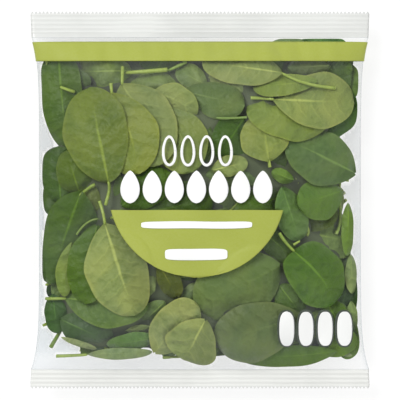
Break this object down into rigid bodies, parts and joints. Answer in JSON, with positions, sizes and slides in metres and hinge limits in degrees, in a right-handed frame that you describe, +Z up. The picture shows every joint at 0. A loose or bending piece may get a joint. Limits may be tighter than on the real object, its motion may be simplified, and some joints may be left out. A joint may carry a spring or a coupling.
{
  "type": "bag of baby spinach",
  "caption": "Clear sealed pillow bag filled with baby spinach leaves, with crimped end seals, a lime band and half-round label, and plain white printed figures.",
  "frame": {"origin": "on the floor, under the middle of the bag's box as it lies on its back", "axes": "+X across the bag to the right of its printed front, +Y along the bag towards the seal beside the lime band, +Z up out of the printed front"},
  "size_m": [0.24, 0.267, 0.0607],
  "materials": {
    "film": "clear gloss film with a faint milky haze over dark and light green leaves",
    "print_lime": "flat lime ink under gloss film",
    "print_white": "flat white ink under gloss film"
  },
  "bodies": {
    "root": {"film_bag": "film", "print_band": "print_lime", "print_label": "print_lime", "print_outline_leaf_1": "print_white", "print_outline_leaf_2": "print_white", "print_outline_leaf_3": "print_white", "print_outline_leaf_4": "print_white", "print_leaf_1": "print_white", "print_leaf_2": "print_white", "print_leaf_3": "print_white", "print_leaf_4": "print_white", "print_leaf_5": "print_white", "print_leaf_6": "print_white", "print_leaf_7": "print_white", "print_label_bar_long": "print_white", "print_label_bar_short": "print_white", "print_corner_oval_1": "print_white", "print_corner_oval_2": "print_white", "print_corner_oval_3": "print_white", "print_corner_oval_4": "print_white"}
  },
  "joints": []
}
